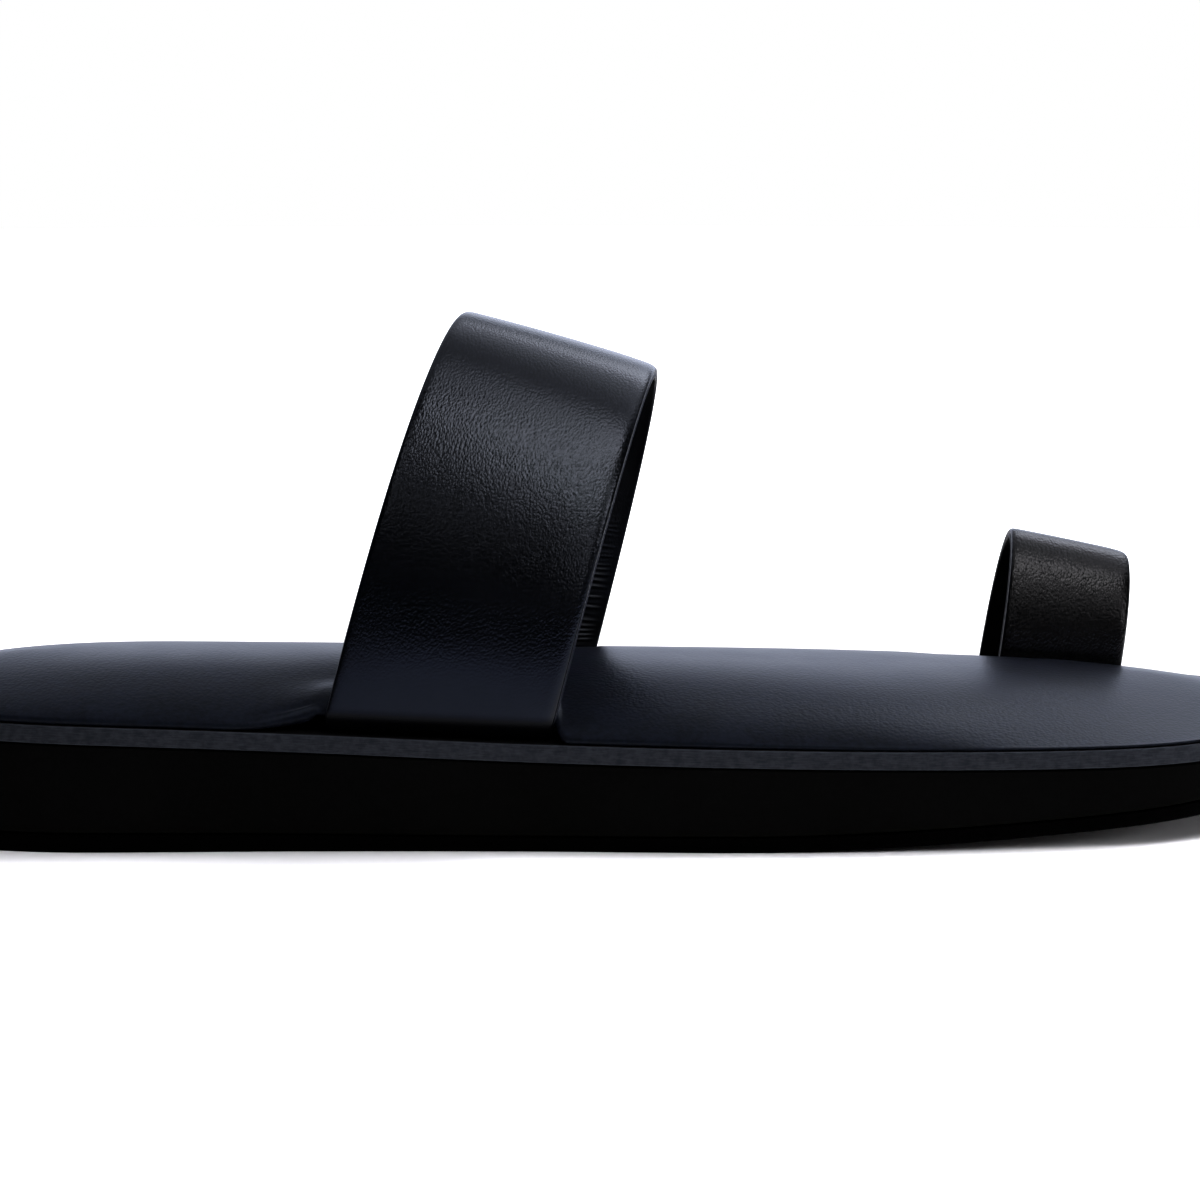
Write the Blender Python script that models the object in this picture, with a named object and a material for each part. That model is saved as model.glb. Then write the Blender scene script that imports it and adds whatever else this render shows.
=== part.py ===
"""A toe loop slide for the right foot: a three-layer sole, a padded insole, an instep strap and a toe loop.

The shoe is drawn in millimetres on its last. x runs from the heel tip to the toe, y from the outer
(lateral) side to the inner (medial) side, and z up from the floor. One empty carries every piece to
the part's own frame, whose origin is on the floor under the middle of the shoe.
"""

import bmesh
import bpy
import numpy as np
from math import pi, radians

# Driving sizes, in millimetres, or as a share of the length where the name says so
MM = 0.001
LENGTH = 260.0
GAP = 0.3
BOARD_THICK = 3.2
STRAP_THICK = 2.0
LOOP_THICK = 1.8
FOLD_RADIUS = 2.6
STRAP_TAB = 7.0
LOOP_TAB = 5.0
FOOT_INSET = 1.8
LOOP_INNER_LEG = 20.0
STRAP_SQUARENESS = 2.2
LOOP_SQUARENESS = 2.0

# The ends of the outline, and the toe spring
HEEL_ROUND_SHARE = 0.17
TOE_ROUND_SHARE = 0.23
END_SQUARENESS = 2.8
TOE_SPRING = 6.6
SPRING_START_SHARE = 0.59
SPRING_POWER = 1.5

# The insole pad: its place on the board, its domed section, and how it gives way to a strap's foot
PAD_INSET = 0.8
PAD_EDGE = 0.8
DOME_SQUARENESS = 2.4
LIFT_MARGIN = 3.0
LIFT_POWER = 1.7
POCKET_REACH = (0.55, 0.68)
TOP_LIFT_REACH = (0.55, 0.95)

# The line inside the sole that the surfaces of each layer close on, heel end and toe end
SPINE = (30.0, 226.0)

# How finely curves are faceted, and the angle up to which faces are shaded as one smooth surface
SMOOTH_ANGLE = radians(35.0)
STATIONS = 72
PAD_TOP_RINGS = (0.985, 0.95, 0.89, 0.80, 0.68, 0.52, 0.34, 0.16)
PAD_UNDER_RINGS = (0.55, 0.61, 0.68, 0.83, 1.00)
ARCH_STEPS = 52
FOLD_STEPS = 6
TAB_STEPS = 2
LEG_STEPS = 2
BAND_LANES = 4

# Sections of the sole: how far each side stands from the heel's centre line, the height of the board's top
# edge over the floor, the thickness of the outsole, the height of the pad's crown over the board, and how
# soon the pad falls away from its crown
SECTION_COLUMNS = ("share", "lateral", "medial", "edge", "tread", "crown", "fall")
SECTIONS = (
    (0.00, 27.0, 27.0, 23.0, 3.2, 5.8, 0.80),
    (0.12, 30.5, 31.5, 22.3, 3.2, 7.8, 0.80),
    (0.28, 33.5, 31.0, 20.7, 2.9, 9.2, 0.80),
    (0.44, 37.8, 31.5, 18.9, 2.5, 10.0, 0.80),
    (0.58, 43.0, 37.0, 18.1, 2.6, 9.4, 0.80),
    (0.70, 44.6, 44.0, 17.5, 2.6, 8.1, 0.85),
    (0.80, 43.5, 47.0, 17.1, 2.5, 7.3, 1.30),
    (0.90, 41.5, 47.5, 17.1, 2.5, 5.2, 1.60),
    (1.00, 33.0, 45.0, 17.5, 2.5, 2.4, 1.20),
)

# The two edges of each band: where its feet stand along the shoe, how high it arches over the board,
# and how far it leans towards the toe for each millimetre of height
EDGE_COLUMNS = ("lateral_foot", "medial_foot", "height", "lean")
STRAP_EDGES = {
    "back": (78.1, 96.8, 70.2, 0.2535),
    "front": (117.4, 130.4, 61.5, 0.257),
}
LOOP_EDGES = {
    "back": (205.8, 207.2, 28.7, 0.156),
    "front": (229.2, 229.4, 24.0, 0.160),
}

# How the pad gives way at each foot that goes under its edge: how far its edge lifts and is pushed in,
# and how soon that fades along the edge, behind the foot and ahead of it
PAD_FEET_COLUMNS = ("band", "foot", "lift", "pinch", "fade_behind", "fade_ahead")
PAD_FEET = (
    (STRAP_EDGES, "lateral_foot", 2.7, 2.8, 22.0, 12.0),
    (STRAP_EDGES, "medial_foot", 2.7, 2.8, 22.0, 12.0),
    (LOOP_EDGES, "medial_foot", 2.3, 3.8, 14.0, 12.0),
)

# The finish of each piece: its colour as shown on a display, 0 to 255, and its roughness
FINISHES = {
    "outsole": ((10, 10, 10), 0.70),
    "midsole": ((16, 16, 17), 0.65),
    "insole_board": ((46, 49, 56), 0.60),
    "insole_pad": ((38, 41, 50), 0.50),
    "instep_strap": ((24, 25, 29), 0.38),
    "toe_loop": ((24, 25, 29), 0.38),
}


def smoothstep(low, high, value):
    """0 below low, 1 above high, and an even S between them."""
    t = np.clip((value - low) / (high - low), 0.0, 1.0)
    return t * t * (3.0 - 2.0 * t)


def section_curve(name):
    """A smooth curve of the share of the length, through one column of the sections."""
    at = np.array([row[0] for row in SECTIONS])
    value = np.array([row[SECTION_COLUMNS.index(name)] for row in SECTIONS])
    slope = np.gradient(value, at)

    def curve(share):
        share = np.clip(share, 0.0, 1.0)
        k = np.clip(np.searchsorted(at, share) - 1, 0, len(at) - 2)
        step = at[k + 1] - at[k]
        t = (share - at[k]) / step
        rise = value[k] * (1 + 2 * t) * (1 - t) ** 2 + value[k + 1] * t * t * (3 - 2 * t)
        turn = slope[k] * t * (1 - t) ** 2 - slope[k + 1] * t * t * (1 - t)
        return rise + turn * step

    return curve


lateral_side = section_curve("lateral")
medial_side = section_curve("medial")
edge_height = section_curve("edge")
tread_thickness = section_curve("tread")
crown_height = section_curve("crown")
crown_fall = section_curve("fall")


def sole_sides(x):
    """Where the lateral and the medial edge of the sole lie across the shoe, at x along it."""
    share = np.clip(x / LENGTH, 0.0, 1.0)
    heel = np.clip(1 - share / HEEL_ROUND_SHARE, 0.0, 1.0)
    toe = np.clip(1 - (1 - share) / TOE_ROUND_SHARE, 0.0, 1.0)
    rounding = np.sqrt((1 - heel**END_SQUARENESS) * (1 - toe**END_SQUARENESS))
    middle = (medial_side(share) - lateral_side(share)) / 2
    half = (medial_side(share) + lateral_side(share)) / 2 * rounding
    return middle - half, middle + half


def outsole_low(x):
    """Height of the sole's underside: flat from the heel to the ball, then sprung at the toe."""
    rise = np.clip((x / LENGTH - SPRING_START_SHARE) / (1 - SPRING_START_SHARE), 0.0, 1.0)
    return TOE_SPRING * rise**SPRING_POWER


def outsole_top(x):
    """Height of the outsole's upper face."""
    return outsole_low(x) + tread_thickness(x / LENGTH)


def midsole_low(x):
    """Height of the midsole's underside."""
    return outsole_top(x) + GAP


def midsole_top(x):
    """Height of the midsole's upper face."""
    return board_low(x) - GAP


def board_low(x):
    """Height of the board's underside."""
    return board_top(x) - BOARD_THICK


def board_top(x):
    """Height of the board's upper face, on which pad and straps sit."""
    return edge_height(x / LENGTH)


def stations():
    """Places along the shoe, closer together at both ends, from heel tip to toe tip."""
    return LENGTH * (1 - np.cos(pi * np.arange(STATIONS + 1) / STATIONS)) / 2


def outline(inset=0.0):
    """The sole's closed outline: heel tip, lateral side, toe tip, medial side, moved in by inset."""
    x = stations()
    near, far = sole_sides(x)
    ring = np.concatenate([np.stack([x, near], -1), np.stack([x, far], -1)[-2:0:-1]])
    along = np.roll(ring, -1, axis=0) - np.roll(ring, 1, axis=0)
    along /= np.linalg.norm(along, axis=1, keepdims=True)
    inward = np.stack([-along[:, 1], along[:, 0]], -1)
    return ring + inward * np.reshape(inset, (-1, 1))


def spine_line():
    """One point inside the sole for each station, on the middle of the shoe."""
    x = np.interp(stations(), (0.0, LENGTH), SPINE)
    near, far = sole_sides(x)
    return np.stack([x, (near + far) / 2], -1)


def spine_for_ring():
    """The spine point that belongs to each point of a ring."""
    spine = spine_line()
    return np.concatenate([spine, spine[-2:0:-1]])


def with_height(points, height):
    """Flat points with their heights put on."""
    return np.column_stack([points, np.broadcast_to(height, len(points))])


def layer_mesh(name, rings, under_spine, upper_spine):
    """A closed mesh from rings that run from the underside, over the edge, to the upper side."""
    mesh = bmesh.new()
    size = 2 * STATIONS

    def add_points(points):
        return [mesh.verts.new(point * MM) for point in points]

    def there_and_back(spine):
        return spine + spine[-2:0:-1]

    loops = [there_and_back(add_points(under_spine))]
    loops += [add_points(ring) for ring in rings]
    loops.append(there_and_back(add_points(upper_spine)))
    for lower, upper in zip(loops, loops[1:]):
        for i in range(size):
            j = (i + 1) % size
            mesh.faces.new((lower[i], lower[j], upper[j], upper[i]))
    return finished_mesh(name, mesh)


def finished_mesh(name, mesh):
    """The mesh data of a finished piece, faces outwards and rounded parts smooth."""
    bmesh.ops.recalc_face_normals(mesh, faces=mesh.faces)
    data = bpy.data.meshes.new(name)
    mesh.to_mesh(data)
    mesh.free()
    data.shade_smooth()
    data.set_sharp_from_angle(angle=SMOOTH_ANGLE)
    return data


def sole_layer(name, low, high):
    """One layer of the sole between two heights, each a function of the place along the shoe."""
    ring = outline()
    spine = spine_line()
    rings = [with_height(ring, low(ring[:, 0])), with_height(ring, high(ring[:, 0]))]
    under = with_height(spine, low(spine[:, 0]))
    upper = with_height(spine, high(spine[:, 0]))
    return layer_mesh(name, rings, under, upper)


def pad_give(x, on_lateral):
    """How far the pad's edge lifts and is pushed in, at each point of its outline."""
    lift, pinch = np.zeros_like(x), np.zeros_like(x)
    for row in PAD_FEET:
        sizes = dict(zip(PAD_FEET_COLUMNS, row))
        place = EDGE_COLUMNS.index(sizes["foot"])
        behind = (sizes["band"]["back"][place] - LIFT_MARGIN - x) / sizes["fade_behind"]
        ahead = (x - sizes["band"]["front"][place] - LIFT_MARGIN) / sizes["fade_ahead"]
        give = (1 - np.maximum(behind, ahead).clip(0.0, 1.0)) ** LIFT_POWER
        give *= on_lateral == (sizes["foot"] == "lateral_foot")
        lift = np.maximum(lift, sizes["lift"] * give)
        pinch = np.maximum(pinch, sizes["pinch"] * give)
    return lift, pinch


def pad_mesh(name):
    """The padded insole: domed on top, and lifted and pinched where a strap's foot goes under its edge."""
    on_lateral = np.arange(2 * STATIONS) <= STATIONS
    lift, pinch = pad_give(outline()[:, 0], on_lateral)
    edge = outline(PAD_INSET + pinch)
    spine = spine_for_ring()

    def ring_at(reach, height):
        points = spine + (edge - spine) * reach
        seat = board_top(points[:, 0]) + GAP
        return with_height(points, seat + height(points[:, 0] / LENGTH, reach))

    def under_height(share, reach):
        return lift * smoothstep(*POCKET_REACH, reach)

    def top_height(share, reach):
        dome = (1 - reach**DOME_SQUARENESS) ** crown_fall(share)
        return PAD_EDGE + lift * smoothstep(*TOP_LIFT_REACH, reach) + crown_height(share) * dome

    rings = [ring_at(reach, under_height) for reach in PAD_UNDER_RINGS]
    rings.append(ring_at(1.0, top_height))
    rings += [ring_at(reach, top_height) for reach in PAD_TOP_RINGS]
    line = spine_line()
    seat = board_top(line[:, 0]) + GAP
    top = seat + PAD_EDGE + crown_height(line[:, 0] / LENGTH)
    return layer_mesh(name, rings, with_height(line, seat), with_height(line, top))


def arch_edge(sizes, feet, thick, squareness, near_tab, far_tab):
    """One edge of a band, along the middle of its thickness, from its near end to its far end.

    sizes is a row of the edge table and feet gives the places of both legs across the shoe. A leg with a tab
    folds inwards at the board and runs under the pad. A leg without one stands on the board.
    """
    near_x, far_x, height, lean = sizes
    near_y, far_y = feet
    skew = (far_x - near_x) / (far_y - near_y)
    centre = (near_y + far_y) / 2
    half = (far_y - near_y) / 2
    clear = GAP + thick / 2
    turn = np.linspace(0.0, pi, ARCH_STEPS + 1)
    power = 2 / squareness
    arch_y = centre - half * np.sign(np.cos(turn)) * np.abs(np.cos(turn)) ** power
    spring_line = clear + FOLD_RADIUS
    arch_z = spring_line + (height - spring_line) * np.sin(turn).clip(0.0) ** power

    def leg(place, inward, tab):
        if not tab:
            rise = np.linspace(GAP, spring_line, LEG_STEPS + 1)[:-1]
            return np.full(LEG_STEPS, place), rise
        bend = np.linspace(0.0, pi / 2, FOLD_STEPS + 1)[:-1]
        fold_y = place + inward * FOLD_RADIUS * (1 - np.sin(bend))
        fold_z = clear + FOLD_RADIUS * (1 - np.cos(bend))
        tab_y = place + inward * (FOLD_RADIUS + np.linspace(tab, 0.0, TAB_STEPS + 1)[:-1])
        return np.concatenate([tab_y, fold_y]), np.concatenate([np.full(TAB_STEPS, clear), fold_z])

    near_leg_y, near_leg_z = leg(near_y, 1.0, near_tab)
    far_leg_y, far_leg_z = leg(far_y, -1.0, far_tab)
    y = np.concatenate([near_leg_y, arch_y, far_leg_y[::-1]])
    z = np.concatenate([near_leg_z, arch_z, far_leg_z[::-1]])
    across = np.clip((y - near_y) / (far_y - near_y), 0.0, 1.0)
    seat = board_top(near_x) * (1 - across) + board_top(far_x) * across
    x = near_x + skew * (y - near_y) + lean * z
    return np.stack([x, y, seat + z], -1)


def band_mesh(name, back, front, thick, widen=0.0):
    """A leather band between two edge curves, thickened to both sides, and widened at both edges."""
    over = front - back
    over /= np.linalg.norm(over, axis=1, keepdims=True)
    back, front = back - over * widen, front + over * widen
    lane = np.linspace(0.0, 1.0, BAND_LANES + 1)[None, :, None]
    middle = back[:, None] * (1 - lane) + front[:, None] * lane
    normal = np.cross(np.gradient(middle, axis=0), over[:, None])
    normal *= thick / 2 / np.linalg.norm(normal, axis=2, keepdims=True)
    mesh = bmesh.new()
    steps = len(back)

    def add_face(points):
        return [[mesh.verts.new(point * MM) for point in row] for row in points]

    outer = add_face(middle + normal)
    inner = add_face(middle - normal)
    for grid in (outer, inner):
        for i in range(steps - 1):
            for k in range(BAND_LANES):
                mesh.faces.new((grid[i][k], grid[i + 1][k], grid[i + 1][k + 1], grid[i][k + 1]))
    for k in (0, BAND_LANES):
        for i in range(steps - 1):
            mesh.faces.new((outer[i][k], outer[i + 1][k], inner[i + 1][k], inner[i][k]))
    for i in (0, steps - 1):
        for k in range(BAND_LANES):
            mesh.faces.new((outer[i][k], outer[i][k + 1], inner[i][k + 1], inner[i][k]))
    return finished_mesh(name, mesh)


def strap_edge(edge):
    """One edge of the instep strap, with both feet set in from the sole's own outline."""
    near_x, far_x, *_ = STRAP_EDGES[edge]
    near_y = sole_sides(near_x)[0] + FOOT_INSET
    far_y = sole_sides(far_x)[1] - FOOT_INSET
    feet = (near_y, far_y)
    return arch_edge(STRAP_EDGES[edge], feet, STRAP_THICK, STRAP_SQUARENESS, STRAP_TAB, STRAP_TAB)


def loop_edge(edge):
    """One edge of the toe loop: an inner leg through the pad, and an outer leg at the medial edge."""
    _, far_x, *_ = LOOP_EDGES[edge]
    feet = (LOOP_INNER_LEG, sole_sides(far_x)[1] - FOOT_INSET)
    return arch_edge(LOOP_EDGES[edge], feet, LOOP_THICK, LOOP_SQUARENESS, 0.0, LOOP_TAB)


def slot_cutter_mesh(name):
    """The slot in the pad for the loop's inner leg: the leg itself with a gap all round."""
    reach = LEG_STEPS + ARCH_STEPS // 4
    back = loop_edge("back")[:reach]
    front = loop_edge("front")[:reach]
    for curve in (back, front):
        curve[0] += curve[0] - curve[1]
    return band_mesh(name, back, front, LOOP_THICK + 2 * GAP, GAP)


def linear_colour(red, green, blue):
    """A colour from its display values, 0 to 255."""
    shade = np.array((red, green, blue)) / 255
    linear = np.where(shade <= 0.04045, shade / 12.92, ((shade + 0.055) / 1.055) ** 2.4)
    return (*linear.tolist(), 1.0)


def material(name):
    """The plain finish of one piece."""
    colour, roughness = FINISHES[name]
    finish = bpy.data.materials.new(name)
    finish.use_nodes = True
    shader = finish.node_tree.nodes["Principled BSDF"]
    shader.inputs["Base Color"].default_value = linear_colour(*colour)
    shader.inputs["Roughness"].default_value = roughness
    shader.inputs["Metallic"].default_value = 0.0
    finish.diffuse_color = linear_colour(*colour)
    return finish


def add_object(name, data, parent):
    """An object in the scene, carried by the parent."""
    piece = bpy.data.objects.new(name, data)
    piece.parent = parent
    bpy.context.scene.collection.objects.link(piece)
    return piece


def add_piece(data, parent):
    """One sub-part, named like its mesh, with its own finish."""
    data.materials.append(material(data.name))
    return add_object(data.name, data, parent)


def build():
    """All pieces of the slide, from the floor up."""
    for old in list(bpy.data.objects):
        bpy.data.objects.remove(old, do_unlink=True)
    for stock in (bpy.data.meshes, bpy.data.materials):
        for old in list(stock):
            stock.remove(old)
    ring = outline()
    middle = (ring.min(axis=0) + ring.max(axis=0)) / 2
    last = add_object("slide", None, None)
    last.location = (-middle[0] * MM, -middle[1] * MM, 0.0)

    add_piece(sole_layer("outsole", outsole_low, outsole_top), last)
    add_piece(sole_layer("midsole", midsole_low, midsole_top), last)
    add_piece(sole_layer("insole_board", board_low, board_top), last)

    pad = add_piece(pad_mesh("insole_pad"), last)
    cutter = add_object("slot_cutter", slot_cutter_mesh("slot_cutter"), last)
    cutter.hide_render = True
    cutter.display_type = "WIRE"
    slot = pad.modifiers.new("toe_loop_slot", "BOOLEAN")
    slot.operation = "DIFFERENCE"
    slot.solver = "EXACT"
    slot.object = cutter

    add_piece(band_mesh("instep_strap", strap_edge("back"), strap_edge("front"), STRAP_THICK), last)
    add_piece(band_mesh("toe_loop", loop_edge("back"), loop_edge("front"), LOOP_THICK), last)


build()
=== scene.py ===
# %% [markdown]
# # A slide with a toe loop
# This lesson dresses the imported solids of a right-foot slide: a rubber outsole, a foam midsole, a board with
# a flat edge, a padded leather insole, a wide instep strap and a loop for the big toe.
# Every visible piece is made again here with finer curves, on the same last and in the same sizes as the
# solids, so that each one lies where its solid does.

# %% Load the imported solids
from math import cos, pi, radians, sin

import bmesh
import bpy
import numpy as np
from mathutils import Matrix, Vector


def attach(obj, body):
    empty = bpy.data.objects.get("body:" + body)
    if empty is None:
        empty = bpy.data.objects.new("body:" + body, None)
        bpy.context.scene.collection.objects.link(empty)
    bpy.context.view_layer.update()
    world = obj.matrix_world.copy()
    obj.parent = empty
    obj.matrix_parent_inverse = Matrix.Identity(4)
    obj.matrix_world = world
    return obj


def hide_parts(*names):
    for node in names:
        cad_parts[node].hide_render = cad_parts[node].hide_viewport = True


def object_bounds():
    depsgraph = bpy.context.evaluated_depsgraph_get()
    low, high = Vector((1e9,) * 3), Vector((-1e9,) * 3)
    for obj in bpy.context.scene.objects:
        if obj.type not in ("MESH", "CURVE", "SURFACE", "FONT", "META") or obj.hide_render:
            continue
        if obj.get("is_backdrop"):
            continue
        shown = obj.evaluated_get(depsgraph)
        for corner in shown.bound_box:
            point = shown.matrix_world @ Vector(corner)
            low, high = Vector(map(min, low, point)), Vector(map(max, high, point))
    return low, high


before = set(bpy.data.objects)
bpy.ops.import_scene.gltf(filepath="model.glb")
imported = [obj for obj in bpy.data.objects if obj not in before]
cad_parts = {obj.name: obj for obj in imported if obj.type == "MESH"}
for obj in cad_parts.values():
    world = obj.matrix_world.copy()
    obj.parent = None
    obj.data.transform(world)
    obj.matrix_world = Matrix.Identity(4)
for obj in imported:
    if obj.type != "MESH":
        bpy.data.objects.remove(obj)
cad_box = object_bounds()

print("nodes:", sorted(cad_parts))

# %% [markdown]
# ## The last
# A shoe is drawn on a last, so its sizes are kept as sections from heel to toe. Each row says how far the two
# sides stand from the heel's centre line, how high the board's top edge is over the floor, how thick the
# outsole is, how high the pad's crown stands over the board, and how soon the pad falls away from it. All of
# it is in millimetres, with x from the heel tip to the toe, y from the outer to the inner side and z up.
# The rows could be joined with straight lines, but a smooth cubic through them shows no corners in the gloss.

# %% Sections from heel to toe
MM = 0.001
LENGTH = 260.0
GAP = 0.3
SECTION_COLUMNS = ("share", "lateral", "medial", "edge", "tread", "crown", "fall")
SECTIONS = (
    (0.00, 27.0, 27.0, 23.0, 3.2, 5.8, 0.80),
    (0.12, 30.5, 31.5, 22.3, 3.2, 7.8, 0.80),
    (0.28, 33.5, 31.0, 20.7, 2.9, 9.2, 0.80),
    (0.44, 37.8, 31.5, 18.9, 2.5, 10.0, 0.80),
    (0.58, 43.0, 37.0, 18.1, 2.6, 9.4, 0.80),
    (0.70, 44.6, 44.0, 17.5, 2.6, 8.1, 0.85),
    (0.80, 43.5, 47.0, 17.1, 2.5, 7.3, 1.30),
    (0.90, 41.5, 47.5, 17.1, 2.5, 5.2, 1.60),
    (1.00, 33.0, 45.0, 17.5, 2.5, 2.4, 1.20),
)


def smoothstep(low, high, value):
    """0 below low, 1 above high, and an even S between them."""
    t = np.clip((value - low) / (high - low), 0.0, 1.0)
    return t * t * (3.0 - 2.0 * t)


def section_curve(name):
    """A smooth curve of the place along the shoe, through one column of the sections."""
    at = np.array([row[0] for row in SECTIONS]) * LENGTH
    value = np.array([row[SECTION_COLUMNS.index(name)] for row in SECTIONS])
    slope = np.gradient(value, at)

    def curve(x):
        x = np.clip(x, 0.0, LENGTH)
        k = np.clip(np.searchsorted(at, x) - 1, 0, len(at) - 2)
        step = at[k + 1] - at[k]
        t = (x - at[k]) / step
        rise = value[k] * (1 + 2 * t) * (1 - t) ** 2 + value[k + 1] * t * t * (3 - 2 * t)
        turn = slope[k] * t * (1 - t) ** 2 - slope[k + 1] * t * t * (1 - t)
        return rise + turn * step

    return curve


lateral_side = section_curve("lateral")
medial_side = section_curve("medial")
board_top = section_curve("edge")
tread_thickness = section_curve("tread")
crown_height = section_curve("crown")
crown_fall = section_curve("fall")
print("board's edge over the floor at heel and toe:", board_top(0.0), board_top(LENGTH), "mm")

# %% [markdown]
# ## Outline and layers
# The outline of the sole is the two sides, rounded off at heel and toe. The underside is flat from the heel
# to the ball of the foot and then springs up, so that the toe can roll. The layers are stacked from it:
# outsole, midsole and board, with a hair's breadth between them.

# %% Outline, heights and stations
BOARD_THICK = 3.2
HEEL_ROUND_SHARE = 0.17
TOE_ROUND_SHARE = 0.23
END_SQUARENESS = 2.8
TOE_SPRING = 6.6
SPRING_START_SHARE = 0.59
SPRING_POWER = 1.5
SPINE = (30.0, 226.0)
STATIONS = 420


def sole_sides(x):
    """Where the lateral and the medial edge of the sole lie across the shoe, at x along it."""
    share = np.clip(x / LENGTH, 0.0, 1.0)
    heel = np.clip(1 - share / HEEL_ROUND_SHARE, 0.0, 1.0)
    toe = np.clip(1 - (1 - share) / TOE_ROUND_SHARE, 0.0, 1.0)
    rounding = np.sqrt((1 - heel**END_SQUARENESS) * (1 - toe**END_SQUARENESS))
    middle = (medial_side(x) - lateral_side(x)) / 2
    half = (medial_side(x) + lateral_side(x)) / 2 * rounding
    return middle - half, middle + half


def outsole_low(x):
    """Height of the sole's underside."""
    rise = np.clip((x / LENGTH - SPRING_START_SHARE) / (1 - SPRING_START_SHARE), 0.0, 1.0)
    return TOE_SPRING * rise**SPRING_POWER


def outsole_top(x):
    """Height of the outsole's upper face."""
    return outsole_low(x) + tread_thickness(x)


def board_low(x):
    """Height of the board's underside."""
    return board_top(x) - BOARD_THICK


def stations():
    """Places along the shoe, closer together at both ends, from heel tip to toe tip."""
    return LENGTH * (1 - np.cos(pi * np.arange(STATIONS + 1) / STATIONS)) / 2


def outline(inset=0.0):
    """The sole's closed outline: heel tip, lateral side, toe tip, medial side, moved in by inset."""
    x = stations()
    near, far = sole_sides(x)
    ring = np.concatenate([np.stack([x, near], -1), np.stack([x, far], -1)[-2:0:-1]])
    along = np.roll(ring, -1, axis=0) - np.roll(ring, 1, axis=0)
    along /= np.linalg.norm(along, axis=1, keepdims=True)
    inward = np.stack([-along[:, 1], along[:, 0]], -1)
    return ring + inward * np.reshape(inset, (-1, 1))


def spine_for_ring():
    """The point inside the sole, on the middle of the shoe, that belongs to each point of a ring."""
    x = np.interp(stations(), (0.0, LENGTH), SPINE)
    near, far = sole_sides(x)
    spine = np.stack([x, (near + far) / 2], -1)
    return np.concatenate([spine, spine[-2:0:-1]])


EDGE_RING = outline()
SPINE_RING = spine_for_ring()
MIDDLE = (EDGE_RING.min(axis=0) + EDGE_RING.max(axis=0)) / 2
print("the frame's origin lies on the last at", MIDDLE.round(2), "mm")

# %% [markdown]
# ## From points to pieces
# Every piece is a skin over rows of points, and each row is a closed ring. A subdivided cage could do the
# same, but rows give each arris its own exact radius. The skin also gets texture coordinates in metres,
# along the rows and round them, because leather grain and edge paint follow the piece and not the room.
# Each piece then rides on the root body, takes the place of its solid, which is hidden, and gets its own
# finish.

# %% Skin and piece helpers
WELD_DISTANCE = 1e-7


def skin(name, rows, closed_ends=False, **values):
    """A mesh over rows of points in millimetres. values are numbers kept at each point for the finish."""
    count, size = rows.shape[:2]
    place = np.arange(count * size).reshape(count, size)
    after = np.roll(place, -1, axis=1)
    quads = np.stack([place[:-1], after[:-1], after[1:], place[1:]], -1).reshape(-1, 4)
    faces = quads.tolist()
    if closed_ends:
        faces += [place[0, ::-1].tolist(), place[-1].tolist()]
    points = rows.reshape(-1, 3) - (MIDDLE[0], MIDDLE[1], 0.0)
    data = bpy.data.meshes.new(name)
    data.from_pydata((points * MM).tolist(), [], faces)
    along = np.linalg.norm(np.diff(rows, axis=0), axis=2).mean(axis=1)
    along = np.concatenate([[0.0], np.cumsum(along)])
    around = np.linalg.norm(np.roll(rows, -1, axis=1) - rows, axis=2).mean(axis=0)
    around = np.concatenate([[0.0], np.cumsum(around)])
    row, column = np.meshgrid(np.arange(count - 1), np.arange(size), indexing="ij")
    u = np.stack([along[row], along[row], along[row + 1], along[row + 1]], -1)
    v = np.stack([around[column], around[column + 1], around[column + 1], around[column]], -1)
    coordinates = np.zeros((len(data.loops), 2))
    coordinates[: quads.size] = np.stack([u.ravel(), v.ravel()], -1) * MM
    data.uv_layers.new(name="length").data.foreach_set("uv", coordinates.ravel())
    for key, value in values.items():
        kept = data.attributes.new(key, "FLOAT", "POINT")
        kept.data.foreach_set("value", np.broadcast_to(value, (count, size)).ravel())
    return welded(data)


def welded(data):
    """The same mesh with points that coincide made one, faces outwards and shaded smooth."""
    mesh = bmesh.new()
    mesh.from_mesh(data)
    bmesh.ops.remove_doubles(mesh, verts=mesh.verts, dist=WELD_DISTANCE)
    bmesh.ops.recalc_face_normals(mesh, faces=mesh.faces)
    mesh.to_mesh(data)
    mesh.free()
    data.shade_smooth()
    return data


def add_piece(name, data, node, finish):
    """One visible piece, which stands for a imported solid."""
    piece = bpy.data.objects.new(name, data)
    bpy.context.scene.collection.objects.link(piece)
    data.materials.append(finish)
    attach(piece, "root")
    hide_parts(node)
    print(name, "has", len(data.polygons), "faces")
    return piece


# %% [markdown]
# ## Finishes as expressions
# A finish is a small network of nodes. Written one node at a time it is hard to read, so a thin wrapper lets
# Python's own operators add the Math nodes, and one method makes every other node.

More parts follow.
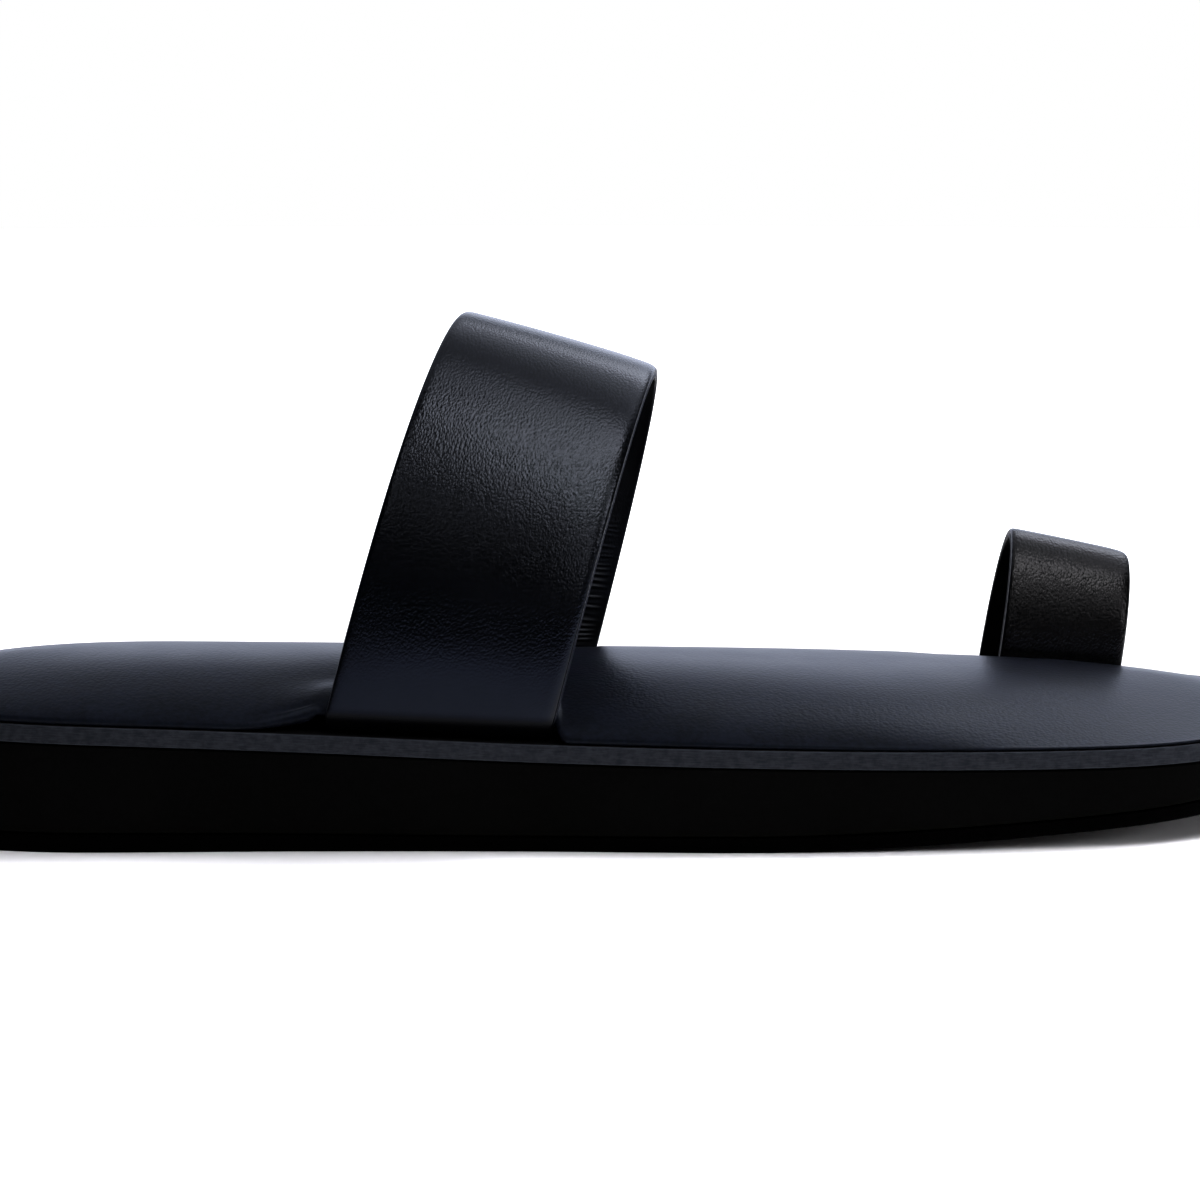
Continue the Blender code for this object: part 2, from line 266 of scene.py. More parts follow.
# %% Wire, the wrapper round a socket
class Wire:
    """One socket of a finish. Operators on it add Math nodes."""

    def __init__(self, tree, socket=None):
        self.tree = tree
        self.socket = socket

    def node(self, kind, settings=(), sockets=(), output=0):
        """A new node: its settings first, then the values or links of its sockets."""
        made = self.tree.nodes.new("ShaderNode" + kind)
        for name, value in dict(settings).items():
            setattr(made, name, value)
        for name, value in dict(sockets).items():
            if isinstance(value, Wire):
                self.tree.links.new(value.socket, made.inputs[name])
            else:
                made.inputs[name].default_value = value
        return Wire(self.tree, made.outputs[output])

    def math(self, operation, *values):
        return self.node("Math", {"operation": operation}, dict(enumerate(values)))

    def __add__(self, other):
        return self.math("ADD", self, other)

    def __sub__(self, other):
        return self.math("SUBTRACT", self, other)

    def __rsub__(self, other):
        return self.math("SUBTRACT", other, self)

    def __mul__(self, other):
        return self.math("MULTIPLY", self, other)

    __radd__ = __add__
    __rmul__ = __mul__

    def between(self, low, high):
        """0 below low, 1 above high, and an even S between them."""
        sockets = {"Value": self, "From Min": low, "From Max": high}
        return self.node("MapRange", {"interpolation_type": "SMOOTHSTEP"}, sockets)

    def blend(self, one, other):
        """The colour one where this is 0, and the other where it is 1."""
        return self.node("Mix", {"data_type": "RGBA"}, {0: self, 6: one, 7: other}, output=2)


def shade(red, green, blue):
    """A colour from the values a display shows, 0 to 255, by the standard display curve."""
    value = np.array((red, green, blue)) / 255
    linear = np.where(value <= 0.04045, value / 12.92, ((value + 0.055) / 1.055) ** 2.4)
    return (*linear.tolist(), 1.0)


def make_finish(name, paint):
    """A material whose surface is what paint returns."""
    made = bpy.data.materials.new(name)
    made.use_nodes = True
    tree = made.node_tree
    tree.nodes.remove(tree.nodes["Principled BSDF"])
    surface = paint(Wire(tree))
    tree.links.new(surface.socket, tree.nodes["Material Output"].inputs["Surface"])
    return made


# %% [markdown]
# ## Outsole and midsole
# The outsole is a thin sheet of black rubber and the midsole a block of dense black foam. Both are cut to the
# outline after they are glued, so their sides are flush and nearly flat, and only the arrises are broken.
# A bevel modifier would do that too, but here the round is part of the rows, so it stays even round the toe.

# %% A layer of the sole with rounded arrises
ARRIS_STEPS = 4
LEVEL_SHARES = (0.25, 0.5, 0.75)
FACE_REACHES = (0.0, 0.3, 0.6, 0.85)
UPPER_TURN = (0.9, 1.4)


def layer_rows(low, high, lower_round, upper_round):
    """Rows from the underside's middle, over the side, to the top's middle, and marks for the finish."""
    rows, arris, upper = [], [], []

    def add(points, height, on_arris=0.0, on_top=0.0):
        rows.append(np.column_stack([points, height]))
        arris.append([on_arris])
        upper.append([on_top])

    def add_face(level, reaches, inset, on_top=0.0):
        for reach in reaches:
            points = SPINE_RING + (outline(inset) - SPINE_RING) * reach
            add(points, level(points[:, 0]), 0.0, on_top)

    quarter = np.linspace(0.0, pi / 2, ARRIS_STEPS + 1)
    add_face(low, FACE_REACHES, lower_round)
    for turn in quarter:
        points = outline(lower_round * (1 - sin(turn)))
        add(points, low(points[:, 0]) + lower_round * (1 - cos(turn)), sin(2 * turn))
    for share in LEVEL_SHARES:
        bottom, top = low(EDGE_RING[:, 0]) + lower_round, high(EDGE_RING[:, 0]) - upper_round
        add(EDGE_RING, bottom + (top - bottom) * share)
    for turn in quarter:
        points = outline(upper_round * (1 - cos(turn)))
        height = high(points[:, 0]) - upper_round * (1 - sin(turn))
        add(points, height, sin(2 * turn), smoothstep(*UPPER_TURN, turn))
    add_face(high, FACE_REACHES[::-1], upper_round, 1.0)
    return np.array(rows), {"arris": arris, "upper": upper}


# %% Foam and rubber finishes
def foam(start):
    """Dense black foam: matt, with fine closed pores and a faint cloudiness."""
    place = start.node("TexCoord", output="Object")
    pores = start.node("TexNoise", {}, {"Vector": place, "Scale": 2200.0, "Detail": 3.0})
    clouds = start.node("TexNoise", {}, {"Vector": place, "Scale": 45.0, "Detail": 2.0})
    arris = start.node("Attribute", {"attribute_name": "arris"}, output="Fac")
    # The arrises are painted a little paler: a painted highlight along the broken edges.
    colour = (clouds.between(0.3, 0.7) * 0.6 + arris * 0.4).blend(shade(4, 4, 3), shade(7, 7, 6))
    bump = start.node("Bump", {}, {"Height": pores, "Strength": 0.35, "Distance": 0.00012})
    roughness = 0.62 + 0.2 * pores
    sockets = {"Base Color": colour, "Roughness": roughness, "Specular IOR Level": 0.05, "Normal": bump}
    return start.node("BsdfPrincipled", {}, sockets)


TREAD_WAVES = 900.0


def rubber(start):
    """Black rubber with a shallow tread of crossed ribs on its underside."""
    place = start.node("TexCoord", output="Object")
    along = start.node("SeparateXYZ", {}, {"Vector": place}, output="X")
    across = start.node("SeparateXYZ", {}, {"Vector": place}, output="Y")
    normal = start.node("NewGeometry", output="Normal")
    upward = start.node("SeparateXYZ", {}, {"Vector": normal}, output="Z")
    one = start.math("SINE", (along + across) * TREAD_WAVES).between(-0.2, 0.6)
    other = start.math("SINE", (along - across) * TREAD_WAVES).between(-0.2, 0.6)
    tread = one * other * (upward * -1.0).between(0.6, 0.9)
    dust = start.node("TexNoise", {}, {"Vector": place, "Scale": 1500.0, "Detail": 4.0})
    bump = start.node("Bump", {}, {"Height": tread * 4.0 + dust * 0.4, "Strength": 0.5, "Distance": 0.0002})
    colour = dust.between(0.35, 0.75).blend(shade(0, 0, 0), shade(2, 2, 2))
    roughness = 0.7 + 0.15 * dust
    sockets = {"Base Color": colour, "Roughness": roughness, "Specular IOR Level": 0.03, "Normal": bump}
    return start.node("BsdfPrincipled", {}, sockets)


# %% Outsole and midsole pieces
OUTSOLE_ROUNDS = (0.5, 0.25)
MIDSOLE_ROUNDS = (0.25, 0.35)
rows, marks = layer_rows(outsole_low, outsole_top, *OUTSOLE_ROUNDS)
add_piece("outsole_sheet", skin("outsole_sheet", rows, **marks), "outsole",
          make_finish("black_rubber", rubber))

rows, marks = layer_rows(lambda x: outsole_top(x) + GAP, lambda x: board_low(x) - GAP, *MIDSOLE_ROUNDS)
add_piece("midsole_block", skin("midsole_block", rows, **marks), "midsole",
          make_finish("black_foam", foam))

# %% [markdown]
# ## Board
# Pad and straps are lasted over a stiff board. Its edge is trimmed flat and stained slate grey, so it shows
# as a thin strip, mottled by the stain. Rubbing the edge leaves faint streaks along it, which follow the
# outline through the skin's own coordinates. Its arris is painted paler, a painted highlight, and its upper
# face is painted black, a painted shade of the gap under the pad's lip, so it hardly shows.

# %% Board piece
BOARD_ROUNDS = (0.2, 0.2)


def stained_edge(start):
    """A stained edge: mottled, faint rubbing streaks, a painted highlight on the arris, painted shade on top.
    """
    length = start.node("UVMap", {"uv_map": "length"})
    scaled = start.node("VectorMath", {"operation": "MULTIPLY"}, {0: length, 1: (4200.0, 420.0, 1.0)})
    streaks = start.node("TexNoise", {}, {"Vector": scaled, "Scale": 1.0, "Detail": 4.0})
    place = start.node("TexCoord", output="Object")
    mottle = start.node("TexNoise", {}, {"Vector": place, "Scale": 700.0, "Detail": 4.0, "Roughness": 0.65})
    arris = start.node("Attribute", {"attribute_name": "arris"}, output="Fac")
    upper = start.node("Attribute", {"attribute_name": "upper"}, output="Fac")
    stain = (streaks * 0.45 + mottle * 0.55).between(0.34, 0.66).blend(shade(38, 40, 44), shade(56, 58, 62))
    # The arris is painted paler: a painted highlight.
    stain_with_highlight = (arris * 0.35).blend(stain, shade(80, 83, 90))
    # The upper face is painted black: a painted shade of the gap under the pad's lip.
    colour = upper.blend(stain_with_highlight, shade(4, 4, 4))
    bump = start.node("Bump", {}, {"Height": streaks + mottle, "Strength": 0.35, "Distance": 0.0001})
    roughness = 0.6 + 0.2 * mottle
    sockets = {"Base Color": colour, "Roughness": roughness, "Specular IOR Level": 0.15, "Normal": bump}
    return start.node("BsdfPrincipled", {}, sockets)


rows, marks = layer_rows(board_low, board_top, *BOARD_ROUNDS)
add_piece("board", skin("board", rows, **marks), "insole_board",
          make_finish("stained_edge", stained_edge))

# %% [markdown]
# ## Bands of leather
# The instep strap and the toe loop are bands: an outer leather and a thinner lining, glued together, with the
# lining trimmed a little proud. Each band arches from one side to the other between two edge curves, folds at
# the board and runs on under the pad. A flat plane bent with a modifier would lose the cut edge, so a whole
# slice of the band, with its two leathers, the groove between them and their rounded arrises, is swept along.

# %% Edge curves of a band
EDGE_COLUMNS = ("lateral_foot", "medial_foot", "height", "lean")
STRAP_EDGES = {"back": (78.1, 96.8, 70.2, 0.2535), "front": (117.4, 130.4, 61.5, 0.257)}
LOOP_EDGES = {"back": (205.8, 207.2, 28.7, 0.156), "front": (229.2, 229.4, 24.0, 0.160)}
STRAP_THICK = 2.0
LOOP_THICK = 1.8
STRAP_SQUARENESS = 2.2
LOOP_SQUARENESS = 2.0
STRAP_TABS = (7.0, 7.0)
LOOP_TABS = (0.0, 5.0)
FOLD_RADIUS = 2.6
FOOT_INSET = 1.8
LOOP_INNER_LEG = 20.0
STRAP_STEPS = (190, 110)
LOOP_STEPS = (40, 100)
SIDE_TURN = 0.55
FOLD_STEPS = 12
LEG_STEPS = 6


def leg_curve(place, inward, tab, clear):
    """The foot of a band from its end up to the spring of the arch: across the shoe, and over the board."""
    if not tab:
        return np.full(LEG_STEPS, place), np.linspace(GAP, clear + FOLD_RADIUS, LEG_STEPS + 1)[:-1]
    bend = np.linspace(0.0, pi / 2, FOLD_STEPS + 1)[:-1]
    flat = np.linspace(tab, 0.0, LEG_STEPS + 1)[:-1]
    y = np.concatenate([FOLD_RADIUS + flat, FOLD_RADIUS * (1 - np.sin(bend))])
    z = np.concatenate([np.zeros(LEG_STEPS), FOLD_RADIUS * (1 - np.cos(bend))])
    return place + inward * y, clear + z


def arch_edge(sizes, feet, thick, squareness, tabs, steps):
    """One edge of a band, along the middle of its thickness, from its near end to its far end.

    tabs says how far each end runs on under the pad, and steps how many points each side of the arch and its
    crown get.
    """
    near_x, far_x, height, lean = sizes
    near_y, far_y = feet
    clear = GAP + thick / 2
    spring_line = clear + FOLD_RADIUS
    side, crown = steps
    counts = (0, side, side + crown, 2 * side + crown)
    turn = np.interp(np.arange(counts[-1] + 1), counts, (0.0, SIDE_TURN, pi - SIDE_TURN, pi))
    power = 2 / squareness
    swing = np.sign(np.cos(turn)) * np.abs(np.cos(turn)) ** power
    arch_y = (near_y + far_y) / 2 - (far_y - near_y) / 2 * swing
    arch_z = spring_line + (height - spring_line) * np.sin(turn).clip(0.0) ** power
    near_leg = leg_curve(near_y, 1.0, tabs[0], clear)
    far_leg = leg_curve(far_y, -1.0, tabs[1], clear)
    y = np.concatenate([near_leg[0], arch_y, far_leg[0][::-1]])
    z = np.concatenate([near_leg[1], arch_z, far_leg[1][::-1]])
    across = np.clip((y - near_y) / (far_y - near_y), 0.0, 1.0)
    seat = board_top(near_x) * (1 - across) + board_top(far_x) * across
    x = near_x + (far_x - near_x) * (y - near_y) / (far_y - near_y) + lean * z
    return np.stack([x, y, seat + z], -1)


def strap_edge(edge):
    """One edge of the instep strap, with both feet set in from the sole's own outline."""
    near_x, far_x, *_ = STRAP_EDGES[edge]
    feet = (sole_sides(near_x)[0] + FOOT_INSET, sole_sides(far_x)[1] - FOOT_INSET)
    return arch_edge(STRAP_EDGES[edge], feet, STRAP_THICK, STRAP_SQUARENESS, STRAP_TABS, STRAP_STEPS)


def loop_edge(edge):
    """One edge of the toe loop: an inner leg through the pad, and an outer leg at the medial edge."""
    _, far_x, *_ = LOOP_EDGES[edge]
    feet = (LOOP_INNER_LEG, sole_sides(far_x)[1] - FOOT_INSET)
    return arch_edge(LOOP_EDGES[edge], feet, LOOP_THICK, LOOP_SQUARENESS, LOOP_TABS, LOOP_STEPS)


print("the strap's top stands", strap_edge("back")[:, 2].max().round(1), "mm over the floor")

# %% The slice that is swept along a band
# Each row says how far in and how deep a point lies, and how far it is on the lining and on the cut edge.
EDGE_SLICE = (
    (0.55, 0.00, 0.0, 0.0),
    (0.30, 0.04, 0.0, 0.0),
    (0.13, 0.13, 0.0, 0.2),
    (0.04, 0.28, 0.0, 0.7),
    (0.00, 0.48, 0.0, 1.0),
    (0.00, 0.84, 0.0, 1.0),
    (0.07, 0.98, 0.0, 1.0),
    (0.40, 1.08, 0.5, 1.0),
    (0.12, 1.16, 1.0, 0.8),
    (0.02, 1.26, 1.0, 0.8),
    (0.00, 1.42, 1.0, 0.8),
    (0.00, 1.66, 1.0, 0.8),
    (0.06, 1.84, 1.0, 0.5),
    (0.22, 1.96, 1.0, 0.2),
    (0.55, 2.00, 1.0, 0.0),
)
LINING_PROUD = {"back": 0.05, "front": 0.22}
SIDE_SHARES = np.array((0.026, 0.036, 0.05, 0.068, 0.088, 0.11, 0.135, 0.162, 0.19))
FACE_SHARES = np.concatenate([SIDE_SHARES, np.linspace(0.22, 0.78, 19), 1 - SIDE_SHARES[::-1]])
SLICE_THICK = 2.0
SWELL = 0.05
CROWN_REACH = (11.0, 26.0)
WRINKLE_INSET = (0.5, 3.0)


def band_slice():
    """The closed slice, outer face first: share of the width, a step aside from it, depth, and both marks."""
    def face(depth, lining):
        return [(share, 0.0, depth, lining, 0.0) for share in FACE_SHARES]

    def edge(share, inward, proud):
        return [(share, inward * (inset - proud * lining), depth, lining, cut)
                for inset, depth, lining, cut in EDGE_SLICE]

    front = edge(1.0, -1.0, LINING_PROUD["front"])
    back = edge(0.0, 1.0, LINING_PROUD["back"])
    return np.array(face(0.0, 0.0) + front + face(SLICE_THICK, 1.0)[::-1] + back[::-1]).T


def band_rows(back, front, thick, crown, rolls, wrinkle):
    """Rows of a band between two edge curves, the way along it, and marks of its lining and its cut edges.

    crown says how far the band bows out across its width, away from its feet. rolls says at which edge, how
    far and from how far in the band rolls down. wrinkle gives the height of the lining's wrinkles.
    """
    share, step, depth, lining, cut = band_slice()
    over = front - back
    width = np.linalg.norm(over, axis=1, keepdims=True)
    over = over / width
    across = share * width + step
    middle = back[:, None] + over[:, None] * across[..., None]
    normal = np.cross(over[:, None], np.gradient(middle, axis=0))
    normal /= np.linalg.norm(normal, axis=2, keepdims=True)
    outer = 1 - depth / SLICE_THICK
    along = np.concatenate([[0.0], np.cumsum(np.linalg.norm(np.diff((back + front) / 2, axis=0), axis=1))])
    free = smoothstep(*CROWN_REACH, np.minimum(along, along.max() - along))[:, None]
    bow = np.clip(across / width, 0.0, 1.0)
    level = thick * (outer - 0.5) + SWELL * outer + 4 * crown * free * bow * (1 - bow)
    for edge, roll, reach in rolls:
        distance = across if edge == "back" else width - across
        level = level - roll * np.clip(1 - distance / reach, 0.0, 1.0) ** 2 * (0.5 + 0.5 * outer)
    on_lining = (outer == 0.0) * smoothstep(*WRINKLE_INSET, np.minimum(across, width - across))
    level = level + wrinkle(along[:, None], share) * on_lining
    return middle + normal * level[..., None], along, {"lining": lining, "cut": cut}


def near_feet(along, tabs, start, end):
    """A mark of each row of a band: 1 up to the start over each tab, 0 from the end on."""
    ways = zip((along, along.max() - along), tabs)
    return np.max([1 - smoothstep(tab + start, tab + end, way) for way, tab in ways if tab], axis=0)[:, None]


# %% [markdown]
# ## Strap and loop leather
# Both bands are black calf, with a fine pebbled grain under a thin semi-gloss dressing. The strap's gloss is
# cold. The loop is cut from another part of the hide, with a deeper grain, and its gloss is a little warm.
# The pebbles are the cells of a stretched Voronoi pattern, warped so that no two rows line up, with finer
# wrinkles between them. Grain is far too small to model, so it is bump, while rolls, folds and wrinkles are
# in the mesh. The cut edges are painted paler: partly their own edge paint, partly a painted highlight of the
# bright line along them. The lining is duller. Towards its feet a band is drawn tight, which flattens the
# grain. Where it is folded under the pad it is painted matt black, a painted shade of the dark gap there.

# %% Leather finishes
CALF_PEBBLE = 0.00046
CALF_STRETCH = (0.8, 1.25, 1.0)


def pebbled_grain(start, place, size, stretch):
    """Height of a leather's grain, with pebbles of about the size, in metres, and longer along one way."""
    warp = start.node("TexNoise", {}, {"Vector": place, "Scale": 0.35 / size, "Detail": 2.0}, output="Color")
    sockets = {0: warp, 1: (size, size, size), 2: place}
    moved = start.node("VectorMath", {"operation": "MULTIPLY_ADD"}, sockets)
    scaled = start.node("VectorMath", {"operation": "MULTIPLY"}, {0: moved, 1: stretch})
    sockets = {"Vector": scaled, "Scale": 1 / size, "Smoothness": 0.35}
    cells = start.node("TexVoronoi", {"feature": "SMOOTH_F1"}, sockets)
    fine = start.node("TexNoise", {}, {"Vector": scaled, "Scale": 1.6 / size, "Detail": 2.0})
    return 1.0 - cells + 0.5 * fine


def band_leather(start, relief, tint, calf_tones):
    """Semi-gloss black calf with a duller lining, cut edges painted paler and a fold painted matt black.

    The paler cut edges are partly edge paint and partly a painted highlight. The black fold is painted shade.

    relief is the strength of its grain, tint the colour of its gloss, and calf_tones are its two shades.
    """
    place = start.node("UVMap", {"uv_map": "length"})
    lining = start.node("Attribute", {"attribute_name": "lining"}, output="Fac")
    cut = start.node("Attribute", {"attribute_name": "cut"}, output="Fac")
    fold = start.node("Attribute", {"attribute_name": "fold"}, output="Fac")
    drawn = start.node("Attribute", {"attribute_name": "drawn"}, output="Fac")
    grain = pebbled_grain(start, place, CALF_PEBBLE, CALF_STRETCH) * (1.0 - 0.85 * drawn)
    clouds = start.node("TexNoise", {}, {"Vector": place, "Scale": 70.0, "Detail": 3.0})
    calf = clouds.between(0.3, 0.7).blend(*calf_tones)
    faces = lining.blend(calf, shade(6, 6, 7))
    # Cut edges are painted paler: partly edge paint, partly a painted highlight of the bright line along them.
    colour = cut.blend(faces, shade(42, 44, 50))
    roughness = 0.18 + 0.06 * clouds + 0.20 * lining + 0.12 * cut
    bump = start.node("Bump", {}, {"Height": grain, "Strength": relief, "Distance": 0.0001})
    sockets = {"Base Color": colour, "Roughness": roughness, "Specular IOR Level": 0.42, "Normal": bump}
    sockets |= {"Specular Tint": tint}
    leather = start.node("BsdfPrincipled", {}, sockets)
    # The fold is painted matt black: a painted shade of the dark gap under the pad.
    sockets = {"Base Color": shade(3, 3, 4), "Roughness": 0.9, "Specular IOR Level": 0.02}
    return start.node("MixShader", {}, {0: fold, 1: leather, 2: start.node("BsdfPrincipled", {}, sockets)})


def strap_calf(start):
    """The strap's calf, with a cold gloss."""
    tones = shade(3, 4, 6), shade(6, 7, 10)
    return band_leather(start, relief=0.36, tint=(0.90, 0.93, 1.0, 1.0), calf_tones=tones)


def loop_calf(start):
    """The loop's calf, from another part of the hide: a deeper grain and a warmer gloss."""
    tones = shade(4, 4, 4), shade(7, 7, 7)
    return band_leather(start, relief=0.62, tint=(1.0, 0.96, 0.92, 1.0), calf_tones=tones)


# %% Instep strap
STRAP_CROWN = 0.30
STRAP_ROLLS = (("back", 0.15, 1.6), ("front", 0.25, 8.0), ("front", 0.40, 1.8))
WRINKLE_PITCH = 1.1
WRINKLE_DEPTH = 0.40
WRINKLE_FADE = (26.0, 46.0)
# How far along a band, from its tabs, the fold is painted black as shade.
FOLD_SHADE_REACH = (3.2, 5.4)
STRAP_DRAWN_REACH = (10.0, 24.0)


def strap_wrinkles(along, share):
    """Fine cross wrinkles of the lining, uneven, and deeper towards both feet."""
    wander = 1.6 * np.sin(0.31 * along + 5 * share) + 1.1 * np.sin(0.83 * along + 9 * share)
    ripple = (0.5 + 0.5 * np.sin(2 * pi * along / WRINKLE_PITCH + wander)) ** 2
    uneven = 0.55 + 0.45 * np.sin(1.7 * along + 3 * np.sin(0.6 * along) - 6 * share)
    foot = np.minimum(along, along.max() - along)
    return -WRINKLE_DEPTH * ripple * uneven * (1 - smoothstep(*WRINKLE_FADE, foot))


edges = strap_edge("back"), strap_edge("front")
rows, along, marks = band_rows(*edges, STRAP_THICK, STRAP_CROWN, STRAP_ROLLS, strap_wrinkles)
marks["fold"] = near_feet(along, STRAP_TABS, *FOLD_SHADE_REACH)
marks["drawn"] = near_feet(along, STRAP_TABS, *STRAP_DRAWN_REACH)
print("the strap's leather is", along.max().round(1), "mm long")
band = skin("instep_band", rows, closed_ends=True, **marks)
add_piece("instep_band", band, "instep_strap", make_finish("strap_calf", strap_calf))

# %% Toe loop
LOOP_CROWN = 0.1
LOOP_ROLLS = (("back", 0.15, 1.6), ("front", 0.25, 4.5), ("front", 0.35, 1.6))
LOOP_WRINKLE_DEPTH = 0.06
LOOP_DRAWN_REACH = (8.0, 16.0)


def loop_wrinkles(along, share):
    """The loop's short lining lies smooth, with only a slow unevenness."""
    return -LOOP_WRINKLE_DEPTH * (0.5 + 0.5 * np.sin(0.9 * along + 4 * share))


edges = loop_edge("back"), loop_edge("front")
rows, along, marks = band_rows(*edges, LOOP_THICK, LOOP_CROWN, LOOP_ROLLS, loop_wrinkles)
marks["fold"] = near_feet(along, LOOP_TABS, *FOLD_SHADE_REACH)
marks["drawn"] = near_feet(along, LOOP_TABS, *LOOP_DRAWN_REACH)
print("the loop's leather is", along.max().round(1), "mm long")
band = skin("toe_band", rows, closed_ends=True, **marks)
add_piece("toe_band", band, "toe_loop", make_finish("loop_calf", loop_calf))

# %% [markdown]
# ## Padded insole
# Soft leather is drawn over a foam pad and rolled under at the board, so the insole is a low dome with a
# small lip all round. Where a foot of the strap or the loop goes under it, the lip lifts and is pushed in.
# The pad could be inflated with a cloth simulation, but its crown was measured section by section, so it is
# drawn from those sections.

# %% Lift of the pad's edge at each foot
PAD_INSET = 0.35
PAD_EDGE = 0.8
DOME_SQUARENESS = 2.4
LIFT_MARGIN = {"back": 1.0, "front": 0.5}
LIFT_POWER = 1.7
FREE_START = 0.1
POCKET_REACH = (0.55, 0.68)
TOP_LIFT_REACH = (0.60, 0.96)
PAD_FEET_COLUMNS = ("band", "foot", "lift", "pinch", "fade_behind", "fade_ahead")
PAD_FEET = (
    (STRAP_EDGES, "lateral_foot", 2.7, 3.2, 15.0, 2.0),
    (STRAP_EDGES, "medial_foot", 2.7, 3.2, 15.0, 2.0),
    (LOOP_EDGES, "medial_foot", 2.3, 4.2, 11.0, 5.0),
)


def pad_give(x, on_lateral):
    """How far the pad's edge lifts and is pushed in, and how freely it hangs beside a foot, at each point."""
    lift, pinch, free = np.zeros_like(x), np.zeros_like(x), np.zeros_like(x)
    for row in PAD_FEET:
        sizes = dict(zip(PAD_FEET_COLUMNS, row))
        place = EDGE_COLUMNS.index(sizes["foot"])
        behind = (sizes["band"]["back"][place] - LIFT_MARGIN["back"] - x) / sizes["fade_behind"]
        ahead = (x - sizes["band"]["front"][place] - LIFT_MARGIN["front"]) / sizes["fade_ahead"]
        give = (1 - behind.clip(0.0, 1.0)) ** LIFT_POWER * (1 - smoothstep(0.0, 1.0, ahead))
        give *= on_lateral == (sizes["foot"] == "lateral_foot")
        lift = np.maximum(lift, sizes["lift"] * give)
        pinch = np.maximum(pinch, sizes["pinch"] * give)
        free = np.maximum(free, give * smoothstep(0.0, FREE_START, behind))
    return lift, pinch, free


# %% Rows of the pad
PAD_UNDER_REACHES = (0.0, 0.2, 0.42, 0.55, 0.58, 0.61, 0.645, 0.68, 0.83)
LIP = ((1.20, 0.02), (0.55, 0.04), (0.18, 0.18), (0.04, 0.42), (0.00, 0.66), (0.04, 0.90), (0.16, 1.06))
LIP_HIGH = 1.06
PAD_TOP_REACHES = (0.985, 0.979, 0.972, 0.965, 0.958, 0.95, 0.94, 0.925, 0.91, 0.89, 0.87, 0.845, 0.82, 0.79,
                   0.76, 0.72, 0.68, 0.63, 0.58, 0.52, 0.46, 0.40, 0.34, 0.27, 0.20, 0.13, 0.06, 0.0)
TOE_THIN = (130.0, 205.0, 0.7)
THIN_POWER = 8
LIP_SEAT = 0.25
LIP_HANG = 0.9
BEAD = 0.30
BEAD_BUMPS = ((0.982, 0.010, 1.0), (0.955, 0.012, -0.8))
DIMPLE = 0.12
DIMPLE_WIDTH = 2.6
SLOT_LEAN = 1.5


def slot_dimple(points):
    """The leather is drawn down a little round the slot, in which the loop's inner leg leans forward."""
    start, end = LOOP_EDGES["back"][0] + SLOT_LEAN, LOOP_EDGES["front"][0] + SLOT_LEAN
    beside = np.maximum(np.maximum(start - points[:, 0], points[:, 0] - end), 0.0)
    distance = np.hypot(beside, points[:, 1] - LOOP_INNER_LEG)
    return DIMPLE * np.exp(-((distance / DIMPLE_WIDTH) ** 2))


def pad_rows():
    """Rows from the underside's middle, round the lip, to the top's middle."""
    on_lateral = np.arange(2 * STATIONS) <= STATIONS
    lift, pinch, free = pad_give(EDGE_RING[:, 0], on_lateral)
    edge = outline(PAD_INSET + pinch)
    start, end, share = TOE_THIN
    thin = 1 - share * smoothstep(start, end, EDGE_RING[:, 0])

    def at_reach(reach, height):
        points = SPINE_RING + (edge - SPINE_RING) * reach
        return np.column_stack([points, board_top(points[:, 0]) + GAP + height(points, reach)])

    def under(points, reach):
        return lift * smoothstep(*POCKET_REACH, reach)

    def dome(points, reach):
        rise = crown_height(points[:, 0]) * (1 - reach**DOME_SQUARENESS) ** crown_fall(points[:, 0])
        bead = sum(part * np.exp(-(((reach - at) / width) ** 2)) for at, width, part in BEAD_BUMPS)
        top = PAD_EDGE * (1 - (1 - thin) * reach**THIN_POWER)
        top = top + lift * smoothstep(*TOP_LIFT_REACH, reach) + rise
        return top + BEAD * bead * free - slot_dimple(points)

    def at_lip(inset, height):
        points = outline(PAD_INSET + pinch + inset)
        hang = (LIP_SEAT + LIP_HANG * free) * (1 - height / LIP_HIGH)
        return np.column_stack([points, board_top(points[:, 0]) + GAP + lift + height * thin - hang])

    rows = [at_reach(reach, under) for reach in PAD_UNDER_REACHES]
    rows += [at_lip(*place) for place in LIP]
    rows += [at_reach(reach, dome) for reach in PAD_TOP_REACHES]
    return np.array(rows)


# %% Pad leather
PAD_PEBBLE = 0.0007
PAD_STRETCH = (1.0, 1.0, 1.0)


def pad_leather(start):
    """Satin slate leather: a flatter grain than the strap's, mottled, with a soft cloudiness."""
    place = start.node("TexCoord", output="Object")
    grain = pebbled_grain(start, place, PAD_PEBBLE, PAD_STRETCH)
    clouds = start.node("TexNoise", {}, {"Vector": place, "Scale": 90.0, "Detail": 3.0})
    mottle = start.node("TexNoise", {}, {"Vector": place, "Scale": 900.0, "Detail": 3.0, "Roughness": 0.6})
    tone = (clouds * 0.4 + mottle * 0.6).between(0.32, 0.68)
    colour = tone.blend(shade(13, 15, 20), shade(22, 25, 34))
    bump = start.node("Bump", {}, {"Height": grain, "Strength": 0.35, "Distance": 0.0001})
    roughness = 0.28 + 0.08 * clouds
    sockets = {"Base Color": colour, "Roughness": roughness, "Specular IOR Level": 0.12, "Normal": bump}
    sockets |= {"Specular Tint": (0.80, 0.89, 1.0, 1.0)}
    return start.node("BsdfPrincipled", {}, sockets)


pad = add_piece("insole_cushion", skin("insole_cushion", pad_rows()), "insole_pad",
                make_finish("slate_leather", pad_leather))

# %% Slot for the loop's inner leg
CUTTER_DROP = 1.0


